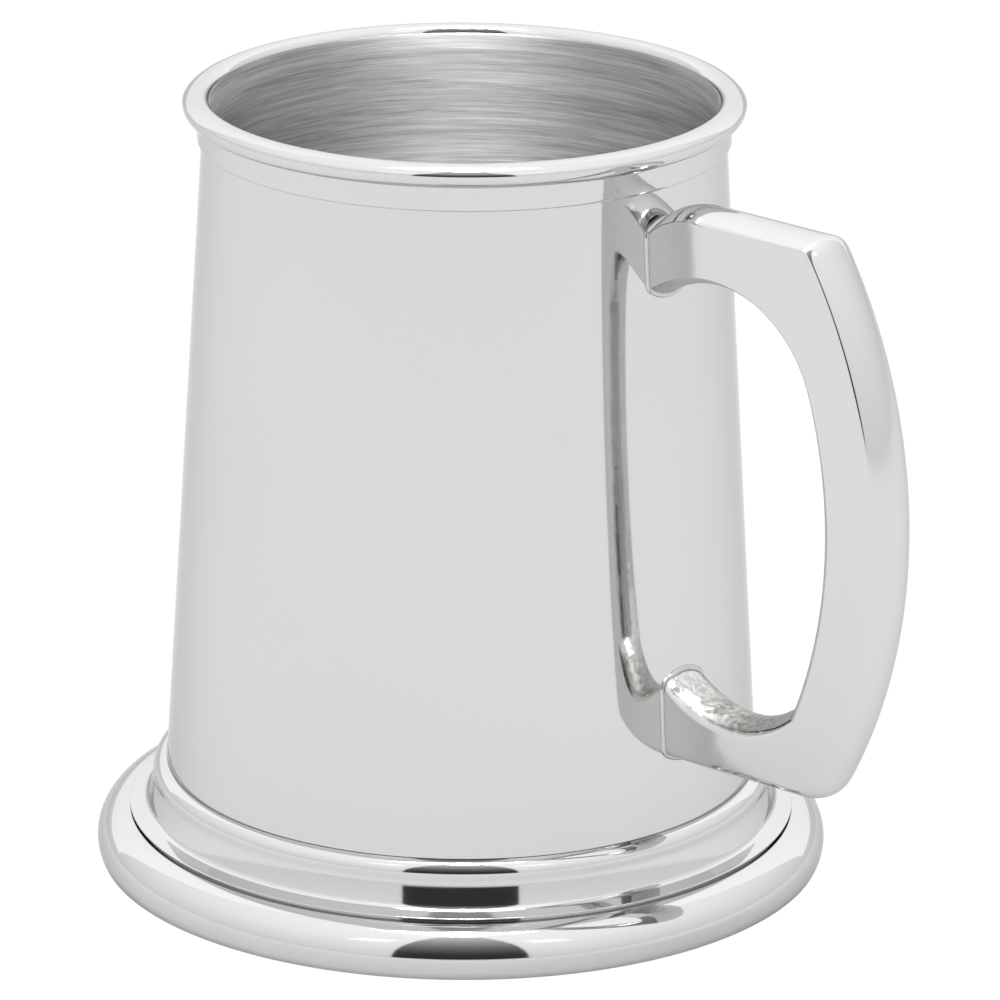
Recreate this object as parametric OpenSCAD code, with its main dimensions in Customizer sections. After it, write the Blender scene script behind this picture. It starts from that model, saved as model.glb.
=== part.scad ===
// Pint tankard in polished pewter: a rolled, tapered drum with a soldered rim moulding and foot moulding,
// a flat base plate and a cast handle. Millimetres, +Z up. The origin is on the turning axis, in the plane
// that the foot rests on, and the handle points along +X.

/* [Drum] */
// Height from the rest face to the top of the lip
height = 120; // [96:1:150]
// Outer diameter of the drum where the rim moulding's lower edge meets it
drum_top_d = 78.6; // [64:0.1:94]
// Outer diameter of the drum where the foot moulding's upper edge meets it
drum_foot_d = 90.5; // [75:0.1:112]
// Thickness of the rolled sheet
wall = 1.0; // [0.8:0.1:1.6]
// Width of the vertical soldered seam, which runs up the handle's side
seam_w = 0.6; // [0.4:0.1:1.2]
// Thickness of the solder film between the drum and each moulding
film = 0.15; // [0.1:0.05:0.25]

/* [Rim moulding] */
// Radius of the rolled outer edge of the lip
lip_outer_r = 1.58; // [1.2:0.02:2]
// Radius of the softer inner shoulder of the lip
lip_inner_r = 1.9; // [1.4:0.1:2.1]
// How far the lip stands out from the drum's outer surface
lip_out = 2.8; // [2.2:0.1:3.4]
// Height of the whole moulding, from its lower edge to the top of the lip
rim_h = 7.2; // [6:0.1:9]
// How far the plain band stands out from the drum
band_out = 0.65; // [0.4:0.05:1]
// Radius that softens the band's lower edge
band_edge_r = 0.4; // [0.2:0.05:0.4]
// How far the drum's top end reaches up into the moulding
rim_lap = 3.6; // [2.5:0.1:4.2]

/* [Foot moulding] */
// How far the torus of the foot stands out from the drum
foot_out = 10.75; // [8.5:0.05:13]
// Height of the foot moulding
foot_h = 15; // [13:0.5:18]
// Radius of the torus section
torus_r = 5; // [4.2:0.1:5.5]
// Height of the centre of the torus section above the rest face
torus_z = 2.25; // [1.5:0.05:2.6]
// Depth of the sharp groove between the cove and the torus
groove_d = 0.6; // [0.3:0.1:0.9]
// Height of that groove
groove_h = 0.35; // [0.2:0.05:0.6]
// Height of the lip between the groove and the cove
lip_h = 0.25; // [0.15:0.05:0.5]
// Radius of the concave cove
cove_r = 4.5; // [3.8:0.1:6]
// Radius of the bead at the top of the foot
bead_r = 1.3; // [1:0.05:1.5]
// How far that bead stands out from the drum
bead_out = 2.05; // [1.8:0.05:2.6]
// Height of the small step between the top of the bead and the top of the foot
step_h = 0.3; // [0.2:0.05:0.6]
// Width of that step, from the drum outwards
step_w = 0.5; // [0.35:0.05:0.7]
// How far the drum reaches down into the moulding
foot_lap = 4; // [3:0.5:4.5]
// Thickness of the ledge that the drum and the base plate stand on
ledge_t = 1.2; // [0.8:0.1:1.8]
// Width of that ledge, from the drum's outer surface inwards
ledge_w = 2.9; // [2.4:0.1:4]
// Width of the flat ring that the foot rests on
rest_w = 3.6; // [2.5:0.1:4.5]

/* [Base plate] */
// Thickness of the disc that closes the drum
plate_t = 1.6; // [1:0.1:2.4]
// Leg of the solder fillet round the inside corner
fillet = 1.0; // [0.6:0.1:1.6]

/* [Handle] */
// Width over the flat side faces
handle_w = 9; // [7:0.1:12]
// Rise of the crowned outer and inner faces
crown = 1.6; // [1.2:0.1:2.4]
// Distance from the drum to the side faces' outer edge, where the grip stands out most
grip_out = 40.15; // [33:0.05:50]
// How far the grip bows out beyond the handle's upper outer corner
grip_bow = 13.1; // [10:0.1:16]
// How far below the middle of the two arms the grip stands out most
grip_low = 2.5; // [0:0.1:5]
// Radial depth of the side faces at the grip
grip_depth = 8.5; // [7:0.1:11]
// Depth of the upper arm's side face at its thinnest
arm_depth = 7.9; // [6.5:0.1:10]
// Depth of the lower arm's side face at its thinnest
foot_arm_depth = 6.3; // [5:0.1:8]
// Distance from the rim moulding's lower edge down to the upper arm's top edge
arm_drop = 2.9; // [2.2:0.1:7]
// Distance from the top of the foot moulding up to the lower arm's bottom edge
foot_arm_rise = 12.2; // [7:0.1:19]
// Radius of the arch under the upper arm
arch_r = 19.7; // [17:0.1:22]
// Radius of the arch over the lower arm
low_arch_r = 18.7; // [16:0.1:19]
// How far the lower arch's circle passes beyond the grip's inner arc, which makes a definite corner there
low_corner = 2.2; // [0.5:0.1:3]
// Distance from the drum at which both arms' inner edges begin to flare towards it
flare_out = 11.6; // [8:0.1:13]
// How far those edges have spread apart where they meet the drum, which places the arms' roots
flare_drop = 3; // [1:0.1:5]
// Radius that rolls the upper arm's top edge down to the drum
root_r = 10.6; // [9:0.1:13]
// How far the upper arm's top edge drops as it rolls down to the drum
root_drop = 3.3; // [2:0.1:4.5]
// Radius of the handle's lower outer corner
heel_r = 4.5; // [3.5:0.1:7]
// Width of the solder collar that shows round each end of the handle
collar_w = 1.2; // [0.8:0.1:1.8]
// How far the solder collar stands out from the drum
collar_t = 1.0; // [0.6:0.1:1.4]

/* [Hidden] */
$fn = 96;
pewter = [0.74, 0.74, 0.73];
solder = [0.66, 0.66, 0.65];
// A margin for cutting shapes that must pass right through what they cut
over = 1;
rim_z = height - rim_h;
drum_z0 = foot_h - foot_lap;
drum_z1 = rim_z + rim_lap;
band_r = drum_top_d / 2 + band_out;
lip_r = drum_top_d / 2 + lip_out;
foot_r = drum_foot_d / 2 + foot_out;
torus_c = foot_r - torus_r;
groove_z = torus_z + torus_r;
cove_edge_z = groove_z + groove_h + lip_h;
bead_z = foot_h - step_h - bead_r;
// The crown is an arc over the handle's width
crown_r = (handle_w * handle_w / 4 + crown * crown) / (2 * crown);
arm_z = rim_z - arm_drop;
foot_arm_z = foot_h + foot_arm_rise;
// The grip's outer edge is one arc, through the upper outer corner and the place where it stands out most
grip_z = (arm_z + foot_arm_z) / 2 - grip_low;
grip_r = (pow(arm_z - grip_z, 2) + grip_bow * grip_bow) / (2 * grip_bow);
reach = drum_r(grip_z) + grip_out;
grip_x = reach - grip_r;
grip_in_r = grip_r - grip_depth;
// The upper arch touches the grip's inner arc from inside, so that the two run smoothly together
arch_z = arm_z - arm_depth - arch_r;
arch_x = grip_x + sqrt(pow(grip_in_r - arch_r, 2) - pow(arch_z - grip_z, 2));
low_arch_z = foot_arm_z + foot_arm_depth + low_arch_r;
low_arch_x = grip_x + sqrt(pow(grip_in_r - low_arch_r + low_corner, 2) - pow(grip_z - low_arch_z, 2));
arch_angle = atan2(arch_z - grip_z, arch_x - grip_x);
// The upper arm's top edge meets the grip's outer arc at a definite corner
corner_angle = asin((arm_z - grip_z) / grip_r);
corner_x = grip_x + grip_r * cos(corner_angle);
// The lower arch crosses the grip's inner arc at a corner: both angles come from the triangle of centres
low_gap = norm([low_arch_x - grip_x, low_arch_z - grip_z]);
low_dir = atan2(low_arch_z - grip_z, low_arch_x - grip_x);
low_cross_angle = acos((low_gap * low_gap + grip_in_r * grip_in_r - low_arch_r * low_arch_r)
                       / (2 * low_gap * grip_in_r)) - low_dir;
low_out_angle = atan2(grip_z - grip_in_r * sin(low_cross_angle) - low_arch_z,
                      grip_x + grip_in_r * cos(low_cross_angle) - low_arch_x);
top_root_z = arm_z - root_drop;
top_root_x = drum_r(top_root_z);
root_angle = 180 - asin(1 - root_drop / root_r);
root_x = top_root_x - root_r * cos(root_angle);
root_z = arm_z - root_r;
// The heel's arc touches the lower arm's bottom edge and the grip's outer arc
heel_z = foot_arm_z + heel_r;
heel_x = grip_x + sqrt(pow(grip_r - heel_r, 2) - pow(grip_z - heel_z, 2));
heel_angle = atan2(grip_z - heel_z, heel_x - grip_x);
// Where the arms' inner edges begin to flare, and where they meet the drum
flare_x = min(arch_x, drum_r(arm_z - arm_depth) + flare_out);
low_flare_x = min(low_arch_x, drum_r(foot_arm_z + foot_arm_depth) + flare_out);
arch_root_x = drum_r(arm_z - arm_depth - flare_drop);
low_root_x = drum_r(foot_arm_z + foot_arm_depth + flare_drop);
// How far the handle's sweep starts inside the drum, before the drum is cut away from it
sink = 1.5;

// Outer radius of the drum at height z
function drum_r(z) = (drum_foot_d + (drum_top_d - drum_foot_d) * (z - foot_h) / (rim_z - foot_h)) / 2;

// Half section of the drum's taper from height z0 to z1, out to a distance grow from its outer surface
module taper_2d(z0, z1, grow = 0) {
    polygon([[0, z0], [drum_r(z0) + grow, z0], [drum_r(z1) + grow, z1], [0, z1]]);
}

// The strip of the drum's wall that the vertical seam fills
module seam_strip() {
    translate([0, -seam_w / 2, drum_z0 - over]) cube([drum_foot_d, seam_w, drum_z1 - drum_z0 + 2 * over]);
}

module drum_tube() {
    rotate_extrude() difference() {
        taper_2d(drum_z0, drum_z1);
        taper_2d(drum_z0 - over, drum_z1 + over, -wall);
    }
}

module drum() {
    color(pewter) difference() {
        drum_tube();
        seam_strip();
    }
}

module side_seam() {
    color(solder) intersection() {
        drum_tube();
        seam_strip();
    }
}

// A film of solder on the drum's outer surface, from height z0 to z1
module film_ring(z0, z1) {
    rotate_extrude() difference() {
        taper_2d(z0, z1, film);
        taper_2d(z0 - over, z1 + over);
    }
}

module rim_moulding() {
    bore_r = drum_r(drum_z1) - wall;
    inner_x = bore_r + lip_inner_r;
    outer_x = lip_r - lip_outer_r;
    neck_z = height - lip_inner_r;
    color(pewter) rotate_extrude() difference() {
        union() {
            // The lip: a soft inner shoulder, a rolled outer edge and the flat between them
            translate([inner_x, neck_z]) circle(lip_inner_r);
            translate([outer_x, height - lip_outer_r]) circle(lip_outer_r);
            translate([inner_x, neck_z]) square([outer_x - inner_x, lip_inner_r]);
            // The plain band, with its lower edge softened
            translate([bore_r, rim_z + band_edge_r]) square([band_r - bore_r, neck_z - rim_z - band_edge_r]);
            translate([bore_r, rim_z]) square([band_r - band_edge_r - bore_r, neck_z - rim_z]);
            translate([band_r - band_edge_r, rim_z + band_edge_r]) circle(band_edge_r);
        }
        taper_2d(rim_z - over, drum_z1, film);
    }
}

module rim_solder() {
    color(solder) film_ring(rim_z, drum_z1);
}

module foot_moulding() {
    ledge_r = drum_r(drum_z0) - ledge_w;
    ledge_z = drum_z0 - ledge_t;
    bead_x = drum_foot_d / 2 + bead_out - bead_r;
    cove_top = [bead_x + bead_r * cos(45), bead_z - bead_r * sin(45)];
    cove_foot = [torus_c, cove_edge_z];
    // The cove's arc runs from under the bead to the lip, and its centre lies outside the chord
    chord = cove_foot - cove_top;
    lift = sqrt(pow(cove_r / norm(chord), 2) - 0.25);
    cove_c = (cove_top + cove_foot) / 2 + lift * [-chord[1], chord[0]];
    rest_r = torus_c + sqrt(torus_r * torus_r - torus_z * torus_z);
    color(pewter) rotate_extrude() difference() {
        union() {
            intersection() {
                translate([torus_c, torus_z]) circle(torus_r);
                square([foot_r + over, foot_h]);
            }
            difference() {
                translate([ledge_r, torus_z]) square([torus_c - ledge_r, foot_h - torus_z]);
                translate([drum_foot_d / 2 + step_w, bead_z]) square([torus_c, foot_h]);
                translate(cove_c) circle(cove_r);
                translate([torus_c - groove_d, groove_z]) square([groove_d + over, groove_h]);
            }
            translate([bead_x, bead_z]) circle(bead_r);
        }
        // The hollow under the foot
        polygon([[0, -over], [rest_r - rest_w, -over], [rest_r - rest_w, 0], [torus_c - 1, groove_z - 2.5],
                 [ledge_r + 2.5, ledge_z], [0, ledge_z]]);
        square([ledge_r, foot_h]);
        taper_2d(drum_z0, foot_h + over, film);
    }
}

module foot_solder() {
    color(solder) film_ring(drum_z0, foot_h);
}

module base_plate() {
    color(pewter) rotate_extrude() taper_2d(drum_z0, drum_z0 + plate_t, -wall);
}

module base_solder() {
    z0 = drum_z0 + plate_t;
    z1 = z0 + fillet;
    color(solder) rotate_extrude()
        polygon([[drum_r(z0) - wall - fillet, z0], [drum_r(z0) - wall, z0], [drum_r(z1) - wall, z1]]);
}

// Solid of the drum and its seam, from the axis out, used to fit the handle and its solder to the drum
module drum_solid(grow = 0) {
    rotate_extrude() taper_2d(foot_h, rim_z, grow);
}

// A bar along +X whose top and bottom faces are crowned, between heights z0 and z1
module crowned_bar(length, z0, z1, grow = 0) {
    half_w = handle_w / 2 + grow;
    rotate([90, 0, 90]) linear_extrude(length) intersection() {
        translate([-half_w, z0 - crown - grow - over])
            square([2 * half_w, z1 - z0 + 2 * (crown + grow + over)]);
        union() {
            translate([0, z1 + crown - crown_r]) circle(crown_r + grow);
            translate([0, z0 - crown + crown_r]) circle(crown_r + grow);
            translate([-half_w - over, z0 - crown + crown_r])
                square([2 * (half_w + over), z1 - z0 + 2 * (crown - crown_r)]);
        }
    }
}

// Points along an arc in the handle's plane, from angle a0 to a1, without the last one
function arc_points(x, z, r, a0, a1, steps) =
    [for (i = [0:steps - 1]) let (a = a0 + (a1 - a0) * i / steps) [x + r * cos(a), z + r * sin(a)]];

// The crown's height at each place across the handle
crown_steps = 8;
crown_places = [for (i = [0:crown_steps]) handle_w * (i / crown_steps - 0.5)];
function crown_at(y) = sqrt(crown_r * crown_r - y * y) - crown_r + crown;

// The section of the handle between an outer and an inner edge point: flat sides, crowned ends
function handle_ring(outer, inner) =
    let (d = (outer - inner) / norm(outer - inner))
    concat([for (y = crown_places) let (p = outer + d * crown_at(y)) [p[0], y, p[1]]],
           [for (y = crown_places) let (p = inner - d * crown_at(y)) [p[0], -y, p[1]]]);

// Places from a to b in equal steps, without the last one
function steps_between(a, b, steps) = [for (i = [0:steps - 1]) a + (b - a) * i / steps];

// Height of an arch's inner edge above its centre at a distance x from the axis: an arc of radius r from its
// centre outwards and another from the flare inwards, with a level stretch between them
function arch_rise(x, flare, centre, r) = sqrt(r * r - pow(max(flare - x, x - centre, 0), 2));
function arch_edge(x) = arch_z + arch_rise(x, flare_x, arch_x, arch_r);
function low_arch_edge(x) = low_arch_z - arch_rise(x, low_flare_x, low_arch_x, low_arch_r);

module handle_sweep() {
    // Both edges of the side face, from inside the drum along the upper arm, grip and lower arm back into it
    roll_steps = 6;
    arm_steps = 8;
    bend_steps = 8;
    grip_steps = 22;
    heel_steps = 8;
    outer_edge = concat(
        [[top_root_x - sink, top_root_z]],
        arc_points(root_x, root_z, root_r, root_angle, 90, roll_steps),
        [for (x = steps_between(root_x, corner_x, arm_steps)) [x, arm_z]],
        arc_points(grip_x, grip_z, grip_r, corner_angle, arch_angle, bend_steps),
        arc_points(grip_x, grip_z, grip_r, arch_angle, -heel_angle, grip_steps),
        arc_points(heel_x, heel_z, heel_r, -heel_angle, -90, heel_steps),
        [for (x = steps_between(heel_x, low_root_x, arm_steps)) [x, foot_arm_z]],
        [[low_root_x, foot_arm_z], [low_root_x - sink, foot_arm_z]]);
    // The upper arch bends away from the arm on the line from its centre to the outer corner
    bend_angle = atan2(arm_z - arch_z, corner_x - arch_x);
    bend_x = arch_x + arch_r * cos(bend_angle);
    low_bend_angle = -65;
    low_bend_x = low_arch_x + low_arch_r * cos(low_bend_angle);
    inner_edge = concat(
        [[arch_root_x - sink, arch_edge(arch_root_x)]],
        [for (x = steps_between(arch_root_x, root_x, roll_steps)) [x, arch_edge(x)]],
        [for (x = steps_between(root_x, bend_x, arm_steps)) [x, arch_edge(x)]],
        arc_points(arch_x, arch_z, arch_r, bend_angle, arch_angle, bend_steps),
        arc_points(grip_x, grip_z, grip_in_r, arch_angle, -low_cross_angle, grip_steps),
        arc_points(low_arch_x, low_arch_z, low_arch_r, low_out_angle, low_bend_angle, heel_steps),
        [for (x = steps_between(low_bend_x, low_root_x, arm_steps)) [x, low_arch_edge(x)]],
        [[low_root_x, low_arch_edge(low_root_x)], [low_root_x - sink, low_arch_edge(low_root_x)]]);
    rings = [for (i = [0:len(outer_edge) - 1]) handle_ring(outer_edge[i], inner_edge[i])];
    n = 2 * len(crown_places);
    last = len(rings) - 1;
    polyhedron(
        points = [for (ring = rings) each ring],
        faces = concat(
            [for (i = [0:last - 1], j = [0:n - 1]) let (k = (j + 1) % n) [i * n + j, i * n + k, (i + 1) * n + k]],
            [for (i = [0:last - 1], j = [0:n - 1]) let (k = (j + 1) % n)
                [i * n + j, (i + 1) * n + k, (i + 1) * n + j]],
            [[for (j = [n - 1:-1:0]) j]],
            [[for (j = [0:n - 1]) last * n + j]]));
}

module handle() {
    color(pewter) difference() {
        handle_sweep();
        drum_solid();
    }
}

// The solder that shows round one end of the handle: a collar on the drum, from height z0 to z1
module solder_collar(z0, z1) {
    color(solder) difference() {
        intersection() {
            crowned_bar(reach, z0, z1, collar_w);
            drum_solid(collar_t);
        }
        drum_solid();
        handle();
    }
}

module upper_handle_solder() {
    solder_collar(arch_edge(arch_root_x), top_root_z);
}

module lower_handle_solder() {
    solder_collar(foot_arm_z, low_arch_edge(low_root_x));
}

drum();
side_seam();
rim_moulding();
rim_solder();
foot_moulding();
foot_solder();
base_plate();
base_solder();
handle();
upper_handle_solder();
lower_handle_solder();
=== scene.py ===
# %% [markdown]
# # A pint tankard in polished pewter
#
# This lesson builds the looks of a tankard around its measured frame. The real one is a sheet of pewter
# rolled into a tapered drum, with a turned lip at the top, a turned foot, a base plate and a cast handle,
# all joined with solder. We could model it as one body, but a smith makes it piece by piece, and every
# joint shows as a fine line, so each piece here is a mesh of its own.

# %% Load the frame
import math

import bmesh
import bpy
import numpy as np
from mathutils import Matrix, Vector


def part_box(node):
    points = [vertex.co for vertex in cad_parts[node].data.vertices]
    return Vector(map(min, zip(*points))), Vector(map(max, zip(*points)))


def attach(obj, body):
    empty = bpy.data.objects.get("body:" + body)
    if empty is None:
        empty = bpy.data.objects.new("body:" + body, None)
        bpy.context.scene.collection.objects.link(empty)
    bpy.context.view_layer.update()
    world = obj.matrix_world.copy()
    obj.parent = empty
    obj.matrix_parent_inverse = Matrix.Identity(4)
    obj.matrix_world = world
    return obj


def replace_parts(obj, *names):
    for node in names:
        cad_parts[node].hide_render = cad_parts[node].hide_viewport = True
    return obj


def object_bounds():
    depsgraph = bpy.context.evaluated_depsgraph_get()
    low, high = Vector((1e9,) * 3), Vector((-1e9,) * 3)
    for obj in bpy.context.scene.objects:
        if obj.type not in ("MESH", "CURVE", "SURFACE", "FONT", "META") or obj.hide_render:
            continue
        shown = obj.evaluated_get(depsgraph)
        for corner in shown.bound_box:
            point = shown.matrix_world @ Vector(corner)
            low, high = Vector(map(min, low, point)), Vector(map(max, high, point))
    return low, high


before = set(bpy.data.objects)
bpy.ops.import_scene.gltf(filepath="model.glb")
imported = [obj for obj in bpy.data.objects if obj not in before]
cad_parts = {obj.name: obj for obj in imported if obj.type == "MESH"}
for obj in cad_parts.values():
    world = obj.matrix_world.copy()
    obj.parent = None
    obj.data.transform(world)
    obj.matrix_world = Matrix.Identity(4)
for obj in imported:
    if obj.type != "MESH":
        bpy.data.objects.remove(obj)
cad_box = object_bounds()
MM = 0.001
frame_size = [round(v / MM, 2) for v in cad_box[1] - cad_box[0]]
print("frame:", len(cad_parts), "nodes,", frame_size, "mm over all")

# %% [markdown]
# ## Sizes that everything else hangs on
#
# The drum's taper decides where each moulding and each end of the handle sits. Two rings of the frame give
# it: the drum's own foot, and the solder film under the lip, which wraps the drum's top. We work in
# millimetres, because that is what a workshop drawing uses, and scale to metres only when a mesh is made.

# %% Measure the drum's taper
FILM = 0.15
WALL = 1.0


def box_mm(node):
    """The lowest and highest corner of a frame node, in millimetres."""
    low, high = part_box(node)
    return low / MM, high / MM


DRUM_LOW, DRUM_HIGH = box_mm("drum")
RIM_Z = box_mm("rim_solder")[0].z
LIP_TOP = box_mm("rim_moulding")[1].z
FOOT_TOP = box_mm("foot_moulding")[1].z
FOOT_R = box_mm("foot_moulding")[1].x
PLATE_TOP = box_mm("base_plate")[1].z
TAPER = (box_mm("rim_solder")[1].x - FILM - DRUM_HIGH.x) / (RIM_Z - DRUM_LOW.z)


def drum_r(z):
    """Outer radius of the drum at a height."""
    return DRUM_HIGH.x + TAPER * (z - DRUM_LOW.z)


print(f"the drum tapers from {2 * drum_r(FOOT_TOP):.1f} mm at the foot",
      f"to {2 * drum_r(RIM_Z):.1f} mm at the lip")

# %% [markdown]
# ## Colours and nodes
#
# Colours are chosen as hex values, the way a paint program shows them, but the renderer adds up light, so
# each one is turned to linear values once, here. The second helper adds a shader node with its settings and
# its links, so that a material reads as a short recipe.

# %% Two helpers for materials


def colour(code):
    """Turns an sRGB hex code into the linear colour that a shader needs."""
    parts = [int(code[i:i + 2], 16) / 255 for i in (1, 3, 5)]
    return [p / 12.92 if p <= 0.04045 else ((p + 0.055) / 1.055) ** 2.4 for p in parts] + [1.0]


def add(tree, kind, settings=(), inputs=()):
    """Adds a node, sets its properties, and fills its inputs with values or with other nodes' outputs."""
    made = tree.nodes.new(kind)
    for name, value in dict(settings).items():
        setattr(made, name, value)
    for key, value in dict(inputs).items():
        if isinstance(value, bpy.types.NodeSocket):
            tree.links.new(value, made.inputs[key])
        else:
            made.inputs[key].default_value = value
    return made


def new_material(name):
    """An empty material, with its object coordinates ready."""
    material = bpy.data.materials.new(name)
    material.use_nodes = True
    tree = material.node_tree
    tree.nodes.clear()
    place = add(tree, "ShaderNodeTexCoord").outputs["Object"]
    return material, tree, place


print("white #FFFFFF is", colour("#FFFFFF"))

# %% [markdown]
# ## How pewter takes light
#
# Pewter is tin with a little antimony and copper. Polished on a cloth wheel it is a mirror that gives back
# about seven tenths of the light, greyer than chrome. At a grazing angle it gives back less than a perfect
# mirror would, so the edges of the drum look a shade darker. A hand-held wheel never leaves it quite flat,
# so reflections wander a little, and it leaves a faint haze of hair-fine lines that run round the drum. The
# lines come from noise that is stretched along the turning direction: slow across x and y, quick along z,
# which has no seam anywhere round the drum.

# %% Mirror-polished pewter
PEWTER = "#D7D7D6"
PEWTER_DULL = "#B8B8B7"
GRAZING = "#DFDFDF"


def line_noise(tree, place, length_mm, spacing_mm, detail=3.0):
    """Noise drawn out into lines that run round the z axis, of about this length and spacing."""
    scale = (1000 / length_mm, 1000 / length_mm, 1000 / spacing_mm)
    stretched = add(tree, "ShaderNodeVectorMath", {"operation": "MULTIPLY"}, {0: place, 1: scale})
    values = {"Vector": stretched.outputs[0], "Scale": 1.0, "Detail": detail, "Roughness": 0.6}
    return add(tree, "ShaderNodeTexNoise", inputs=values).outputs["Fac"]


def finish_metal(tree, base, roughness, normal, anisotropy=0.0, tangent=None, turn=0.0):
    """The metal shader: its colour, roughness, relief and grain, and its tint at a grazing angle."""
    inputs = {"Base Color": base, "Metallic": 1.0, "Roughness": roughness, "Normal": normal}
    shader = add(tree, "ShaderNodeBsdfPrincipled", inputs=inputs)
    shader.inputs["Specular Tint"].default_value = colour(GRAZING)
    shader.inputs["Anisotropic"].default_value = anisotropy
    shader.inputs["Anisotropic Rotation"].default_value = turn
    if tangent is not None:
        tree.links.new(tangent, shader.inputs["Tangent"])
    add(tree, "ShaderNodeOutputMaterial", inputs={"Surface": shader.outputs[0]})


def polished_pewter():
    """Mirror-polished pewter: the eye sees the room, bent a little, with a soft haze along the polishing."""
    material, tree, place = new_material("polished_pewter")
    wander = add(tree, "ShaderNodeTexNoise", inputs={"Vector": place, "Scale": 1000 / 34, "Detail": 1.0})
    lines = line_noise(tree, place, 18, 0.22)
    haze = add(tree, "ShaderNodeMapRange", inputs={"Value": lines, "From Min": 0.35, "From Max": 0.75,
                                                   "To Min": 0.045, "To Max": 0.085})
    tint = add(tree, "ShaderNodeMix", {"data_type": "RGBA"},
               {"Factor": wander.outputs["Fac"], "A": colour(PEWTER), "B": colour("#D4D4D4")})
    broad = add(tree, "ShaderNodeBump", inputs={"Height": wander.outputs["Fac"], "Strength": 0.12,
                                                "Distance": 0.25 * MM})
    fine = add(tree, "ShaderNodeBump", inputs={"Height": lines, "Strength": 0.05, "Distance": 0.01 * MM,
                                               "Normal": broad.outputs[0]})
    finish_metal(tree, tint.outputs["Result"], haze.outputs[0], fine.outputs[0])
    return material


POLISHED = polished_pewter()
print("made", POLISHED.name)

# %% [markdown]
# ## Satin inside
#
# The inside of the cup isn't polished. It is dressed with abrasive while it turns, which leaves circles of
# scratches, and these spread a reflection across themselves. Three sizes of line do it: the hair-fine
# grain, the single deeper scratches, and broad bands where the abrasive pressed harder. The shader's
# anisotropy does the part of the grain that is too fine to draw. Its tangent runs along the scratches, so a
# quarter turn makes it spread the light across them.

# %% Satin-brushed pewter


def satin_pewter():
    """Satin pewter, brushed round the axis: soft streaks of light and dark that follow the turning."""
    material, tree, place = new_material("satin_brushed_pewter")
    grain = line_noise(tree, place, 9, 0.16, detail=2.0)
    scratches = line_noise(tree, place, 22, 0.55)
    bands = line_noise(tree, place, 60, 3.2, detail=2.0)
    mixed = add(tree, "ShaderNodeMix", inputs={"Factor": 0.45, "A": grain, "B": scratches})
    relief = add(tree, "ShaderNodeMix", inputs={"Factor": 0.25, "A": mixed.outputs[0], "B": bands})
    tone = add(tree, "ShaderNodeMapRange", inputs={"Value": relief.outputs[0], "From Min": 0.38,
                                                   "From Max": 0.62})
    base = add(tree, "ShaderNodeMix", {"data_type": "RGBA"},
               {"Factor": tone.outputs[0], "A": colour("#A6A6A5"), "B": colour("#E6E6E5")})
    rough = add(tree, "ShaderNodeMapRange", inputs={"Value": scratches, "From Min": 0.3, "From Max": 0.7,
                                                    "To Min": 0.5, "To Max": 0.62})
    bump = add(tree, "ShaderNodeBump", inputs={"Height": relief.outputs[0], "Strength": 0.28,
                                               "Distance": 0.05 * MM})
    around = add(tree, "ShaderNodeTangent", {"direction_type": "RADIAL", "axis": "Z"})
    finish_metal(tree, base.outputs["Result"], rough.outputs[0], bump.outputs[0],
                 anisotropy=0.92, tangent=around.outputs[0], turn=0.25)
    return material


SATIN = satin_pewter()
print("made", SATIN.name)

# %% [markdown]
# ## Cast skin and solder
#
# The handle is cast. Its sides and its outer face are ground and polished, but the wheel can't reach far
# inside the loop, so the skin that the metal froze with stays there: grey, grainy and pitted. One material
# holds both, and a value painted on the mesh, called skin, says how much of the casting skin is left at
# each point. Solder is the same tin with a softer, slightly lumpy surface.

# %% Cast pewter and solder


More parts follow.
